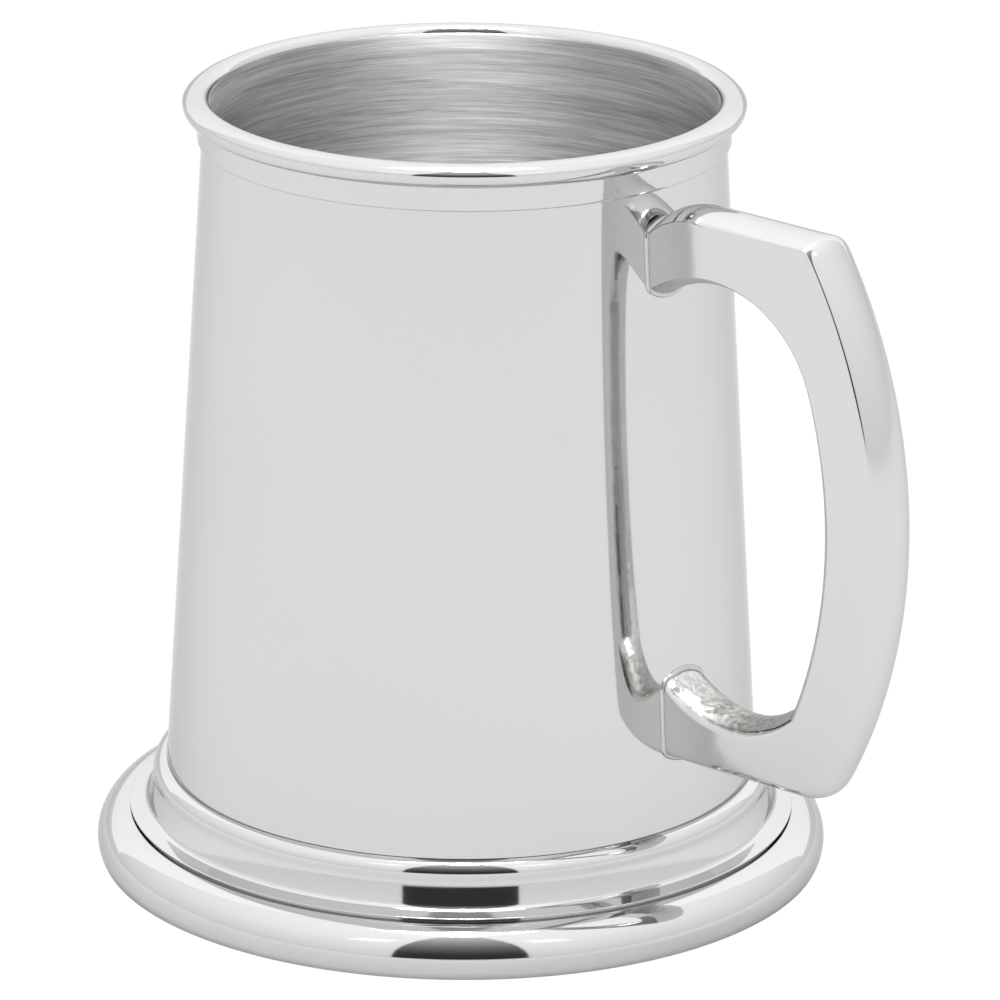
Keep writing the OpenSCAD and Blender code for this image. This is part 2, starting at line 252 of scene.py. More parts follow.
def cast_pewter():
    """Cast pewter: polished where skin is 0, and the grey, grainy skin of the casting where it is 1."""
    material, tree, place = new_material("cast_pewter")
    skin = add(tree, "ShaderNodeAttribute", {"attribute_name": "skin"}).outputs["Fac"]
    wander = add(tree, "ShaderNodeTexNoise", inputs={"Vector": place, "Scale": 1000 / 16, "Detail": 1.0})
    grains = add(tree, "ShaderNodeTexNoise", inputs={"Vector": place, "Scale": 1000 / 0.9, "Detail": 4.0})
    lumps = add(tree, "ShaderNodeTexNoise", inputs={"Vector": place, "Scale": 1000 / 3.2, "Detail": 3.0})
    patchy = add(tree, "ShaderNodeMath", {"operation": "MULTIPLY_ADD", "use_clamp": True},
                 {0: lumps.outputs["Fac"], 1: 1.6, 2: -0.8})
    worn = add(tree, "ShaderNodeMath", {"operation": "ADD"}, {0: skin, 1: patchy.outputs[0]})
    left = add(tree, "ShaderNodeMath", {"operation": "MULTIPLY", "use_clamp": True},
               {0: worn.outputs[0], 1: skin})
    dark = add(tree, "ShaderNodeMapRange", inputs={"Value": grains.outputs["Fac"], "From Min": 0.35,
                                                   "From Max": 0.65})
    cast = add(tree, "ShaderNodeMix", {"data_type": "RGBA"},
               {"Factor": dark.outputs[0], "A": colour("#8C8C8A"), "B": colour("#C9C8C5")})
    base = add(tree, "ShaderNodeMix", {"data_type": "RGBA"},
               {"Factor": left.outputs[0], "A": colour(PEWTER), "B": cast.outputs["Result"]})
    rough = add(tree, "ShaderNodeMapRange", inputs={"Value": left.outputs[0], "To Min": 0.09, "To Max": 0.34})
    height = add(tree, "ShaderNodeMath", {"operation": "MULTIPLY_ADD"},
                 {0: lumps.outputs["Fac"], 1: 2.0, 2: grains.outputs["Fac"]})
    cast_height = add(tree, "ShaderNodeMath", {"operation": "MULTIPLY"},
                      {0: height.outputs[0], 1: left.outputs[0]})
    broad = add(tree, "ShaderNodeBump", inputs={"Height": wander.outputs["Fac"], "Strength": 0.15,
                                                "Distance": 0.25 * MM})
    grainy = add(tree, "ShaderNodeBump", inputs={"Height": cast_height.outputs[0], "Strength": 0.6,
                                                 "Distance": 0.25 * MM, "Normal": broad.outputs[0]})
    finish_metal(tree, base.outputs["Result"], rough.outputs[0], grainy.outputs[0])
    return material


def dressed_solder():
    """Tin solder, dressed with a file and polished: a shade greyer than the pewter, and softly lumpy."""
    material, tree, place = new_material("dressed_solder")
    lumps = add(tree, "ShaderNodeTexNoise", inputs={"Vector": place, "Scale": 1000 / 2.4, "Detail": 2.0})
    base = add(tree, "ShaderNodeMix", {"data_type": "RGBA"},
               {"Factor": lumps.outputs["Fac"], "A": colour(PEWTER_DULL), "B": colour(PEWTER)})
    rough = add(tree, "ShaderNodeMapRange", inputs={"Value": lumps.outputs["Fac"], "To Min": 0.08,
                                                    "To Max": 0.2})
    bump = add(tree, "ShaderNodeBump", inputs={"Height": lumps.outputs["Fac"], "Strength": 0.35,
                                               "Distance": 0.3 * MM})
    finish_metal(tree, base.outputs["Result"], rough.outputs[0], bump.outputs[0])
    return material


CAST = cast_pewter()
SOLDER = dressed_solder()
print("made", CAST.name, "and", SOLDER.name)

# %% [markdown]
# ## A lathe in Geometry Nodes
#
# The drum, both mouldings, the base plate and the solder rings are all turned: one outline, swept round the
# axis. Blender's Spin or Screw could do that too. Here a small node tree does it, because it reads like a
# lathe: the outline becomes a curve, a circle carries it round, and the material is set last. The circle
# needs some radius of its own, or its points would have no outward direction, so the outline is first moved
# inwards by that much.

# %% Build the lathe
LATHE_R = 1.0


def lathe_tree():
    """A node tree that sweeps an outline, with x as radius and y as height, round the z axis."""
    tree = bpy.data.node_groups.new("lathe", "GeometryNodeTree")
    for name, kind in (("Outline", "NodeSocketGeometry"), ("Segments", "NodeSocketInt"),
                       ("Carrier Radius", "NodeSocketFloat"), ("Material", "NodeSocketMaterial")):
        tree.interface.new_socket(name, in_out="INPUT", socket_type=kind)
    tree.interface.new_socket("Turned", in_out="OUTPUT", socket_type="NodeSocketGeometry")
    given = add(tree, "NodeGroupInput").outputs
    minus_r = add(tree, "ShaderNodeMath", {"operation": "MULTIPLY"}, {0: given["Carrier Radius"], 1: -1.0})
    inwards = add(tree, "ShaderNodeCombineXYZ", inputs={"X": minus_r.outputs[0]})
    moved = add(tree, "GeometryNodeTransform", inputs={"Geometry": given["Outline"], "Scale": (1, -1, 1),
                                                       "Translation": inwards.outputs[0]})
    profile = add(tree, "GeometryNodeMeshToCurve", inputs={"Mesh": moved.outputs[0]})
    carrier = add(tree, "GeometryNodeCurvePrimitiveCircle", inputs={"Resolution": given["Segments"],
                                                                    "Radius": given["Carrier Radius"]})
    swept = add(tree, "GeometryNodeCurveToMesh", inputs={"Curve": carrier.outputs["Curve"],
                                                         "Profile Curve": profile.outputs["Curve"]})
    real = add(tree, "GeometryNodeRealizeInstances", inputs={"Geometry": swept.outputs[0]})
    painted = add(tree, "GeometryNodeSetMaterial", inputs={"Geometry": real.outputs[0],
                                                           "Material": given["Material"]})
    add(tree, "NodeGroupOutput", inputs={"Turned": painted.outputs[0]})
    return tree


LATHE = lathe_tree()
print("the lathe has", len(LATHE.nodes), "nodes")

# %% [markdown]
# ## From outline to piece
#
# A mirror shows every fault of its mesh. Where a round edge meets a long straight wall, the shading normal
# of the shared corner leans towards the round, and the lean spreads down the whole wall. A support point
# close to each end of a straight stretch stops it. Then the swept mesh is made real, its doubled points at
# the axis are merged, its faces are turned outwards, and edges sharper than 32 degrees stay crisp.

# %% Helpers for turned pieces
SUPPORT = 0.12
SEGMENTS = 288


def arc(x, z, r, start, end, steps=12):
    """Points on a circle about (x, z), from one angle to another, both in degrees."""
    angles = np.radians(np.linspace(start, end, steps + 1))
    return [(x + r * math.cos(a), z + r * math.sin(a)) for a in angles]


def supported(outline, longest=6.0):
    """The closed outline with support points near the ends of long straights, and more along them."""
    points = []
    for (x0, z0), (x1, z1) in zip(outline, outline[1:] + outline[:1]):
        length = math.hypot(x1 - x0, z1 - z0)
        points.append((x0, z0))
        if length > 4 * SUPPORT:
            inner = np.linspace(SUPPORT / length, 1 - SUPPORT / length, max(2, int(length / longest) + 2))
            points += [(x0 + (x1 - x0) * t, z0 + (z1 - z0) * t) for t in inner]
    return points


def as_object(name, mesh):
    """Links a mesh as an object at the origin, with doubles merged, faces outward and edges crisp."""
    shape = bmesh.new()
    shape.from_mesh(mesh)
    bmesh.ops.remove_doubles(shape, verts=shape.verts, dist=0.002 * MM)
    bmesh.ops.recalc_face_normals(shape, faces=shape.faces)
    for face in shape.faces:
        face.smooth = True
    shape.to_mesh(mesh)
    shape.free()
    mesh.set_sharp_from_angle(angle=math.radians(32))
    mesh.name = name
    piece = bpy.data.objects.new(name, mesh)
    bpy.context.scene.collection.objects.link(piece)
    return piece


def run_tree(tree, mesh, values):
    """Runs a node tree once on a mesh, with its inputs set by their identifiers, and returns a plain mesh."""
    holder = bpy.data.objects.new("holder", mesh)
    bpy.context.scene.collection.objects.link(holder)
    modifier = holder.modifiers.new("tree", "NODES")
    modifier.node_group = tree
    for item in tree.interface.items_tree:
        if item.name in values:
            modifier[item.identifier] = values[item.name]
    ready = holder.evaluated_get(bpy.context.evaluated_depsgraph_get())
    made = bpy.data.meshes.new_from_object(ready)
    bpy.data.objects.remove(holder)
    bpy.data.meshes.remove(mesh)
    return made


def outline_mesh(points):
    """A closed loop of edges through points given in millimetres."""
    edges = [(i, (i + 1) % len(points)) for i in range(len(points))]
    mesh = bpy.data.meshes.new("outline")
    mesh.from_pydata([tuple(c * MM for c in (*p, 0.0)[:3]) for p in points], edges, [])
    return mesh


def turned(name, outline, material):
    """Turns a closed outline of (radius, height) points into a piece."""
    values = {"Segments": SEGMENTS, "Carrier Radius": LATHE_R * MM, "Material": material}
    piece = as_object(name, run_tree(LATHE, outline_mesh(supported(outline)), values))
    print(f"{name}: {len(piece.data.polygons)} faces, {2 * max(p[0] for p in outline):.1f} mm across")
    return piece


def satin_inside(piece, limit=-0.6):
    """Gives the satin finish to the faces that look inwards, at the axis."""
    piece.data.materials.append(SATIN)
    for face in piece.data.polygons:
        outward = Vector((face.center.x, face.center.y, 0)).normalized()
        if face.normal.dot(outward) < limit:
            face.material_index = 1
    return piece


def belongs(piece, node):
    """Rides the piece on the tankard and hides the frame node that it stands for."""
    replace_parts(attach(piece, "root"), node)
    return piece


# %% [markdown]
# ## The drum
#
# The drum is 1 mm sheet, so its outline is a thin, leaning strip. Its ends are hidden in the mouldings. The
# outside is polished and the inside is satin: the same metal, finished twice. The seam that closes it runs
# up behind the handle. Outside it was filed flush and polished away with the drum; inside, the solder still
# stands a hair proud.

# %% Turn the drum
drum_outline = [(drum_r(DRUM_LOW.z) - WALL, DRUM_LOW.z), (drum_r(DRUM_LOW.z), DRUM_LOW.z),
                (drum_r(DRUM_HIGH.z), DRUM_HIGH.z), (drum_r(DRUM_HIGH.z) - WALL, DRUM_HIGH.z)]
drum = satin_inside(turned("drum_sheet", drum_outline, POLISHED))
belongs(drum, "drum")

# %% Lay the side seam
SEAM_W = box_mm("side_seam")[1].y - box_mm("side_seam")[0].y
SEAM_PROUD = 0.03
SEAM_UNDER = 0.02
SEAM_SHORT = 0.1


def side_seam():
    """A strip of solder through the drum's wall, from under the lip to the base plate."""
    shape = bmesh.new()
    rings = []
    across = np.linspace(-0.5, 0.5, 7) * SEAM_W
    for z in np.linspace(DRUM_LOW.z + SEAM_SHORT, DRUM_HIGH.z - SEAM_SHORT, 40):
        bulge = [SEAM_PROUD * (1 - (2 * y / SEAM_W) ** 2) for y in across]
        outer = [(math.sqrt((drum_r(z) - SEAM_UNDER) ** 2 - y ** 2), y, z) for y in across]
        inner = [(math.sqrt((drum_r(z) - WALL) ** 2 - y ** 2) - b, y, z) for b, y in zip(bulge, across)]
        rings.append([shape.verts.new([c * MM for c in p]) for p in outer + inner[::-1]])
    for low, high in zip(rings, rings[1:]):
        for i in range(len(low)):
            j = (i + 1) % len(low)
            shape.faces.new((low[i], low[j], high[j], high[i]))
    shape.faces.new(rings[0][::-1])
    shape.faces.new(rings[-1])
    mesh = bpy.data.meshes.new("seam")
    shape.to_mesh(mesh)
    shape.free()
    mesh.materials.append(SOLDER)
    return as_object("side_seam_line", mesh)


belongs(side_seam(), "side_seam")
print(f"the seam is {SEAM_W:.1f} mm wide")

# %% [markdown]
# ## The lip
#
# The lip is one turned ring: a soft inner shoulder, a flat top that bends over a tight outer edge, a fuller
# underside, then a crease down to a plain band with a small round at its lower edge. All its rounds are
# true arcs, so the highlights run along them without a break. The bore is dressed with the inside of the
# cup.

# %% Turn the rim moulding
LIP_TOP_R = 2.6
LIP_EDGE_R = 0.8
LIP_UNDER_R = 2.0
LIP_EDGE_TURN = 40
LIP_INNER_R = 1.5
LIP_R = box_mm("rim_moulding")[1].x
BAND_OUT = 0.65
BAND_R = drum_r(RIM_Z) + BAND_OUT
BAND_EDGE_R = 0.4
CREASE_R = 0.25
BORE_R = drum_r(DRUM_HIGH.z) - WALL
edge_turn = math.radians(LIP_EDGE_TURN)
lip_x = LIP_R - LIP_EDGE_R
lip_z = LIP_TOP - LIP_TOP_R + (LIP_TOP_R - LIP_EDGE_R) * math.sin(edge_turn)
top_x = lip_x - (LIP_TOP_R - LIP_EDGE_R) * math.cos(edge_turn)
under_x = LIP_R - LIP_UNDER_R
crease_z = lip_z - math.sqrt((LIP_UNDER_R + CREASE_R) ** 2 - (BAND_R + CREASE_R - under_x) ** 2)
crease_angle = math.degrees(math.atan2(crease_z - lip_z, BAND_R + CREASE_R - under_x))
rim_outline = (
    arc(BORE_R + LIP_INNER_R, LIP_TOP - LIP_INNER_R, LIP_INNER_R, 180, 90, 16)
    + arc(top_x, LIP_TOP - LIP_TOP_R, LIP_TOP_R, 90, LIP_EDGE_TURN, 14)
    + arc(lip_x, lip_z, LIP_EDGE_R, LIP_EDGE_TURN, 0, 10)[1:]
    + arc(under_x, lip_z, LIP_UNDER_R, 0, crease_angle, 16)[1:]
    + arc(BAND_R + CREASE_R, crease_z, CREASE_R, crease_angle + 180, 180, 6)[1:]
    + arc(BAND_R - BAND_EDGE_R, RIM_Z + BAND_EDGE_R, BAND_EDGE_R, 0, -90, 6)
    + [(drum_r(RIM_Z) + FILM, RIM_Z), (drum_r(DRUM_HIGH.z) + FILM, DRUM_HIGH.z), (BORE_R, DRUM_HIGH.z)])
rim = satin_inside(turned("rim_ring", rim_outline, POLISHED), -0.95)
belongs(rim, "rim_moulding")

# %% [markdown]
# ## The foot
#
# The foot moulding is what makes this tankard: a quarter-round bead that flows into a cove, a thin lip, a
# knife-sharp groove, and the heavy torus that it stands on. The cove falls almost upright, leans back a
# little and turns quickly into a ledge. It acts as a hollow mirror and turns the room upside down, so its
# curve matters more than its size. Underneath the foot is hollow, up to the ledge that carries the drum and
# the base plate.

# %% Turn the foot moulding
TORUS_R = 5.0
TORUS_Z = 2.25
GROOVE_D = 0.6
GROOVE_H = 0.35
LIP_H = 0.25
BEAD_R = 2.05
NECK_H = 0.55
COVE_BENDS = ((3.8, 12), (28, 18), (1.0, 83))
LEDGE_T = 1.2
LEDGE_W = 2.9
REST_W = 3.6
HOLLOW_IN = 1.0
HOLLOW_DROP = 2.5
HOLLOW_OUT = 2.5
EDGE = 0.06


def hollow(start, bends):
    """Points down a hollow wall that begins upright: each bend has a radius and the lean that it ends at."""
    points = [start]
    lean = 0
    for r, end in bends:
        x, z = points[-1]
        turn = math.radians(lean)
        points += arc(x + r * math.cos(turn), z + r * math.sin(turn), r, 180 + lean, 180 + end, 14)[1:]
        lean = end
    return points


def foot_outline():
    """The foot's outline: bead, cove, lip, groove, torus, rest ring, hollow and ledge."""
    torus_x = FOOT_R - TORUS_R
    groove_z = TORUS_Z + TORUS_R
    lip = (torus_x, groove_z + GROOVE_H + LIP_H)
    bead_z = FOOT_TOP - BEAD_R
    bead_start = math.degrees(math.acos(FILM / BEAD_R))
    neck = (drum_r(FOOT_TOP) + BEAD_R, bead_z - NECK_H)
    rest = math.degrees(math.asin(TORUS_Z / TORUS_R))
    rest_x = torus_x + TORUS_R * math.cos(math.radians(rest))
    ledge_x = drum_r(DRUM_LOW.z) - LEDGE_W
    ledge_z = DRUM_LOW.z - LEDGE_T
    return (arc(drum_r(FOOT_TOP), bead_z, BEAD_R, bead_start, 0, 20)
            + hollow(neck, COVE_BENDS)
            + arc(lip[0] - EDGE, lip[1] - EDGE, EDGE, 75, 0, 4)
            + arc(lip[0] - EDGE, groove_z + GROOVE_H + EDGE, EDGE, 0, -90, 4)
            + [(torus_x - GROOVE_D, groove_z + GROOVE_H), (torus_x - GROOVE_D, groove_z)]
            + arc(torus_x, TORUS_Z, TORUS_R, 90, -rest, 56)
            + [(rest_x - REST_W, 0), (torus_x - HOLLOW_IN, groove_z - HOLLOW_DROP),
               (ledge_x + HOLLOW_OUT, ledge_z), (ledge_x, ledge_z), (ledge_x, DRUM_LOW.z),
               (drum_r(DRUM_LOW.z) + FILM, DRUM_LOW.z)])


foot = turned("foot_ring", foot_outline(), POLISHED)
belongs(foot, "foot_moulding")

# %% [markdown]
# ## Base plate and solder rings
#
# The base plate is a disc dropped in from above, with a solder fillet round it inside the cup. The two
# films of solder that hold the mouldings end a little inside the joint, which leaves the hair-fine dark
# line that shows where one piece stops and the next begins.

# %% Turn the plate and the rings
FILLET = 1.0
FILM_BACK = 0.12


def film_outline(low, high):
    """The outline of a solder film on the drum between two heights."""
    return [(drum_r(low), low), (drum_r(low) + FILM, low), (drum_r(high) + FILM, high), (drum_r(high), high)]


plate_r = drum_r(DRUM_LOW.z) - WALL
plate_top_r = drum_r(PLATE_TOP) - WALL
plate_outline = [(0, DRUM_LOW.z), (plate_r, DRUM_LOW.z), (plate_top_r, PLATE_TOP), (0, PLATE_TOP)]
belongs(turned("base_disc", plate_outline, SATIN), "base_plate")
fillet_z = PLATE_TOP + FILLET
fillet_x = drum_r(fillet_z) - WALL - FILLET
fillet_outline = [(plate_top_r, PLATE_TOP)] + arc(fillet_x, fillet_z, FILLET, 0, -90, 8)
belongs(turned("base_fillet", fillet_outline, SOLDER), "base_solder")
rim_film = turned("rim_solder_ring", film_outline(RIM_Z + FILM_BACK, DRUM_HIGH.z), SOLDER)
belongs(rim_film, "rim_solder")
foot_film = turned("foot_solder_ring", film_outline(DRUM_LOW.z, FOOT_TOP - FILM_BACK), SOLDER)
belongs(foot_film, "foot_solder")

# %% [markdown]
# ## The handle's two edges
#
# The handle is cast in a flat mould: seen from the side it is drawn with circles, and it has flat sides
# with a crowned face outside and another inside the loop. So it can be described by two lines, the outer
# and the inner edge of its flat side, and a section that stretches between them. We walk along both lines
# together, from the drum out along the upper arm, round the corner, down the grip, round the heel and back
# along the lower arm.

# %% Work out the handle's circles
HANDLE_W = box_mm("handle")[1].y - box_mm("handle")[0].y
CROWN = 1.6
GRIP_OUT = 40.14
GRIP_BOW = 13.1
GRIP_LOW = 2.5
GRIP_DEPTH = 8.5
ARM_DEPTH = 7.9
FOOT_ARM_DEPTH = 6.3
ARM_DROP = 2.9
FOOT_ARM_RISE = 12.2
ARCH_R = 19.7
LOW_ARCH_R = 18.7
LOW_ARCH_END = -65
LOW_CORNER = 2.2
FLARE_OUT = 11.6
FLARE_DROP = 3.0
ROOT_R = 10.6
ROOT_DROP = 3.3
HEEL_R = 4.5
SINK = 0.7

arm_z = RIM_Z - ARM_DROP
low_arm_z = FOOT_TOP + FOOT_ARM_RISE
grip_z = (arm_z + low_arm_z) / 2 - GRIP_LOW
grip_r = ((arm_z - grip_z) ** 2 + GRIP_BOW ** 2) / (2 * GRIP_BOW)
grip_x = drum_r(grip_z) + GRIP_OUT - grip_r
grip_in_r = grip_r - GRIP_DEPTH
arch_z = arm_z - ARM_DEPTH - ARCH_R
arch_x = grip_x + math.sqrt((grip_in_r - ARCH_R) ** 2 - (arch_z - grip_z) ** 2)
low_arch_z = low_arm_z + FOOT_ARM_DEPTH + LOW_ARCH_R
low_arch_x = grip_x + math.sqrt((grip_in_r - LOW_ARCH_R + LOW_CORNER) ** 2 - (grip_z - low_arch_z) ** 2)
heel_z = low_arm_z + HEEL_R
heel_x = grip_x + math.sqrt((grip_r - HEEL_R) ** 2 - (grip_z - heel_z) ** 2)
root_top_z = arm_z - ROOT_DROP
root_start = 180 - math.degrees(math.asin(1 - ROOT_DROP / ROOT_R))
root_x = drum_r(root_top_z) - ROOT_R * math.cos(math.radians(root_start))
print(f"the grip's outer edge is an arc of {grip_r:.0f} mm,",
      f"{grip_x + grip_r:.1f} mm from the axis at its widest")

# %% Walk along both edges


def angle_to(x, z, centre_x, centre_z):
    """The direction from a centre to a point, in degrees."""
    return math.degrees(math.atan2(z - centre_z, x - centre_x))


def level(x0, x1, steps, height):
    """Points from x0 towards x1, each at the height that a function gives."""
    return [(x, height(x)) for x in np.linspace(x0, x1, steps, endpoint=False)]


def arch_height(x, centre_x, centre_z, r, side, flare_x):
    """Height of an arch: an arc outwards from its centre, another inwards where it flares to the drum."""
    return centre_z + side * math.sqrt(r * r - max(flare_x - x, x - centre_x, 0) ** 2)


def handle_edges():
    """The outer and the inner edge of the handle's side, as two matched rows of (radius, height) points."""
    flare_x = min(arch_x, drum_r(arm_z - ARM_DEPTH) + FLARE_OUT)
    low_flare_x = min(low_arch_x, drum_r(low_arm_z + FOOT_ARM_DEPTH) + FLARE_OUT)
    arch_root_x = drum_r(arm_z - ARM_DEPTH - FLARE_DROP)
    low_root_x = drum_r(low_arm_z + FOOT_ARM_DEPTH + FLARE_DROP)

    def upper(x):
        return arch_height(x, arch_x, arch_z, ARCH_R, 1, flare_x)

    def lower(x):
        return arch_height(x, low_arch_x, low_arch_z, LOW_ARCH_R, -1, low_flare_x)

    corner = math.degrees(math.asin((arm_z - grip_z) / grip_r))
    corner_x = grip_x + grip_r * math.cos(math.radians(corner))
    arch_turn = angle_to(arch_x, arch_z, grip_x, grip_z)
    heel_turn = angle_to(heel_x, heel_z, grip_x, grip_z)
    bend = angle_to(corner_x, arm_z, arch_x, arch_z)
    bend_x = arch_x + ARCH_R * math.cos(math.radians(bend))
    gap = math.hypot(low_arch_x - grip_x, low_arch_z - grip_z)
    cross = angle_to(low_arch_x, low_arch_z, grip_x, grip_z) - math.degrees(
        math.acos((gap ** 2 + grip_in_r ** 2 - LOW_ARCH_R ** 2) / (2 * gap * grip_in_r)))
    cross_x = grip_x + grip_in_r * math.cos(math.radians(cross))
    cross_z = grip_z + grip_in_r * math.sin(math.radians(cross))
    low_start = angle_to(cross_x, cross_z, low_arch_x, low_arch_z)
    low_end_x = low_arch_x + LOW_ARCH_R * math.cos(math.radians(LOW_ARCH_END))
    outer = ([(drum_r(root_top_z) - SINK, root_top_z - SINK * 0.9)]
             + arc(root_x, arm_z - ROOT_R, ROOT_R, root_start, 90, 15)[:-1]
             + level(root_x, corner_x, 36, lambda x: arm_z)
             + arc(grip_x, grip_z, grip_r, corner, arch_turn, 26)[:-1]
             + arc(grip_x, grip_z, grip_r, arch_turn, heel_turn, 90)[:-1]
             + arc(heel_x, heel_z, HEEL_R, heel_turn, -90, 22)[:-1]
             + level(heel_x, low_root_x, 44, lambda x: low_arm_z)
             + [(low_root_x, low_arm_z), (low_root_x - SINK, low_arm_z)])
    inner = ([(arch_root_x - SINK, upper(arch_root_x))]
             + level(arch_root_x, root_x, 15, upper)
             + level(root_x, bend_x, 36, upper)
             + arc(arch_x, arch_z, ARCH_R, bend, arch_turn, 26)[:-1]
             + arc(grip_x, grip_z, grip_in_r, arch_turn, cross, 90)[:-1]
             + arc(low_arch_x, low_arch_z, LOW_ARCH_R, low_start, LOW_ARCH_END, 22)[:-1]
             + level(low_end_x, low_root_x, 44, lower)
             + [(low_root_x, lower(low_root_x)), (low_root_x - SINK, lower(low_root_x))])
    return np.array(outer), np.array(inner)


def softened(points, passes):
    """Rounds the corners of a row of points, as polishing does, and leaves its ends where they are."""
    soft = points.copy()
    for _ in range(passes):
        soft[1:-1] = (soft[:-2] + 2 * soft[1:-1] + soft[2:]) / 4
    return soft


outer_edge, inner_edge = handle_edges()
outer_edge = softened(outer_edge, 3)
inner_edge = softened(inner_edge, 3)
print("each edge of the handle has", len(outer_edge), "points")

# %% [markdown]
# ## The handle's section
#
# Across the handle the sides are flat and both faces are crowned. The edge between them is crisp on the
# upper arm, and hands and polishing have rounded it lower down, so its radius grows along the handle. The
# casting skin is strongest on the lower arm's inner face, where the wheel reached least. Each section is a
# closed ring of points, and neighbouring rings are joined by faces.

# %% Sweep the handle
CRISP_EDGE = 0.25
SOFT_EDGE = 1.3
SKIN_FADE = 9.0
SKIN_LEAST = 0.55
SKIN_EDGE = 0.25
SKIN_SPREAD = 0.9
HALF_W = HANDLE_W / 2
CROWN_R = (HALF_W ** 2 + CROWN ** 2) / (2 * CROWN)


def half_section(depth, edge_r):
    """Points (across, along) of one half of a section, from the outer crown's top to the inner crown's."""
    crown_z = CROWN - CROWN_R
    edge_z = crown_z + math.sqrt((CROWN_R - edge_r) ** 2 - (HALF_W - edge_r) ** 2)
    turn = math.degrees(math.atan2(edge_z - crown_z, HALF_W - edge_r))
    outer = arc(0, crown_z, CROWN_R, 90, turn, 9)[:-1] + arc(HALF_W - edge_r, edge_z, edge_r, turn, 0, 5)
    side = [(HALF_W, v) for v in np.linspace(edge_z - 0.15, edge_z - depth / 2, 3)]
    half = [(y, v + depth) for y, v in outer + side]
    return half + [(y, depth - v) for y, v in half[-2::-1]]


def handle_piece():
    """The handle as one mesh, with the value skin on its points."""
    skin_top = low_arm_z + FOOT_ARM_DEPTH + SKIN_FADE
    shape = bmesh.new()
    skin_layer = shape.verts.layers.float.new("skin")
    rings = []
    for i, (outer, inner) in enumerate(zip(outer_edge, inner_edge)):
        depth = np.linalg.norm(outer - inner)
        along = (outer - inner) / depth
        lowered = min(max((arm_z - outer[1]) / (arm_z - grip_z), 0), 1)
        edge_r = CRISP_EDGE + (SOFT_EDGE - CRISP_EDGE) * lowered ** 1.5
        reach = max(min(max((skin_top - inner[1]) / SKIN_FADE, 0), 1), SKIN_LEAST)
        half = half_section(depth, edge_r)
        ring = half + [(-y, v) for y, v in half[-2:0:-1]]
        verts = []
        for y, v in ring:
            x, z = inner + along * v
            vert = shape.verts.new((x * MM, y * MM, z * MM))
            vert[skin_layer] = min(max((SKIN_EDGE - v) / SKIN_SPREAD, 0), 1) * reach
            verts.append(vert)
        rings.append(verts)
    for before, after in zip(rings, rings[1:]):
        for j in range(len(before)):
            k = (j + 1) % len(before)
            shape.faces.new((before[j], before[k], after[k], after[j]))
    shape.faces.new(rings[0][::-1])
    shape.faces.new(rings[-1])
    mesh = bpy.data.meshes.new("handle")
    shape.to_mesh(mesh)
    shape.free()
    mesh.materials.append(CAST)
    print(f"the handle has {len(rings)} sections of {len(rings[0])} points")
    return as_object("handle_casting", mesh)


belongs(handle_piece(), "handle")

# %% [markdown]
# ## The solder collars
#
# Where an arm meets the drum, solder flows out and freezes as a thin rounded bead. It follows the outline
# of the arm on the drum's curved wall, so it is a path with a round profile, which Geometry Nodes' Curve to
# Mesh makes in one step. The path is a closed line round the arm, pressed onto the drum.

# %% Run a bead round each end
BEAD_TUBE = 0.5
BEAD_SINK = 0.1
COLLAR_EDGE_R = 1.2


def bead_tree():
    """A node tree that gives a path a round bead of solder."""
    tree = bpy.data.node_groups.new("solder_bead", "GeometryNodeTree")
    for name, kind in (("Path", "NodeSocketGeometry"), ("Bead Radius", "NodeSocketFloat"),
                       ("Material", "NodeSocketMaterial")):
        tree.interface.new_socket(name, in_out="INPUT", socket_type=kind)
    tree.interface.new_socket("Bead", in_out="OUTPUT", socket_type="NodeSocketGeometry")
    given = add(tree, "NodeGroupInput").outputs
    path = add(tree, "GeometryNodeMeshToCurve", inputs={"Mesh": given["Path"]})
    even = add(tree, "GeometryNodeResampleCurve", inputs={"Curve": path.outputs["Curve"], "Count": 160})
    ring = add(tree, "GeometryNodeCurvePrimitiveCircle",
               inputs={"Resolution": 20, "Radius": given["Bead Radius"]})
    tube = add(tree, "GeometryNodeCurveToMesh", inputs={"Curve": even.outputs["Curve"],
                                                        "Profile Curve": ring.outputs["Curve"]})
    real = add(tree, "GeometryNodeRealizeInstances", inputs={"Geometry": tube.outputs[0]})
    painted = add(tree, "GeometryNodeSetMaterial", inputs={"Geometry": real.outputs[0],
                                                           "Material": given["Material"]})
    add(tree, "NodeGroupOutput", inputs={"Bead": painted.outputs[0]})
    return tree


BEAD = bead_tree()


def collar(name, low_z, high_z):
    """A bead of solder round an arm whose side runs from one height to another at the drum."""
    half = half_section(high_z - low_z, COLLAR_EDGE_R)
    ring = half + [(-y, v) for y, v in half[-2:0:-1]]
    path = []
    for y, v in ring:
        z = low_z + v
        path.append((math.sqrt(drum_r(z) ** 2 - y ** 2) - BEAD_SINK, y, z))
    mesh = run_tree(BEAD, outline_mesh(path), {"Bead Radius": BEAD_TUBE * MM, "Material": SOLDER})
    piece = as_object(name, mesh)
    print(f"{name}: {len(piece.data.polygons)} faces")
    return piece


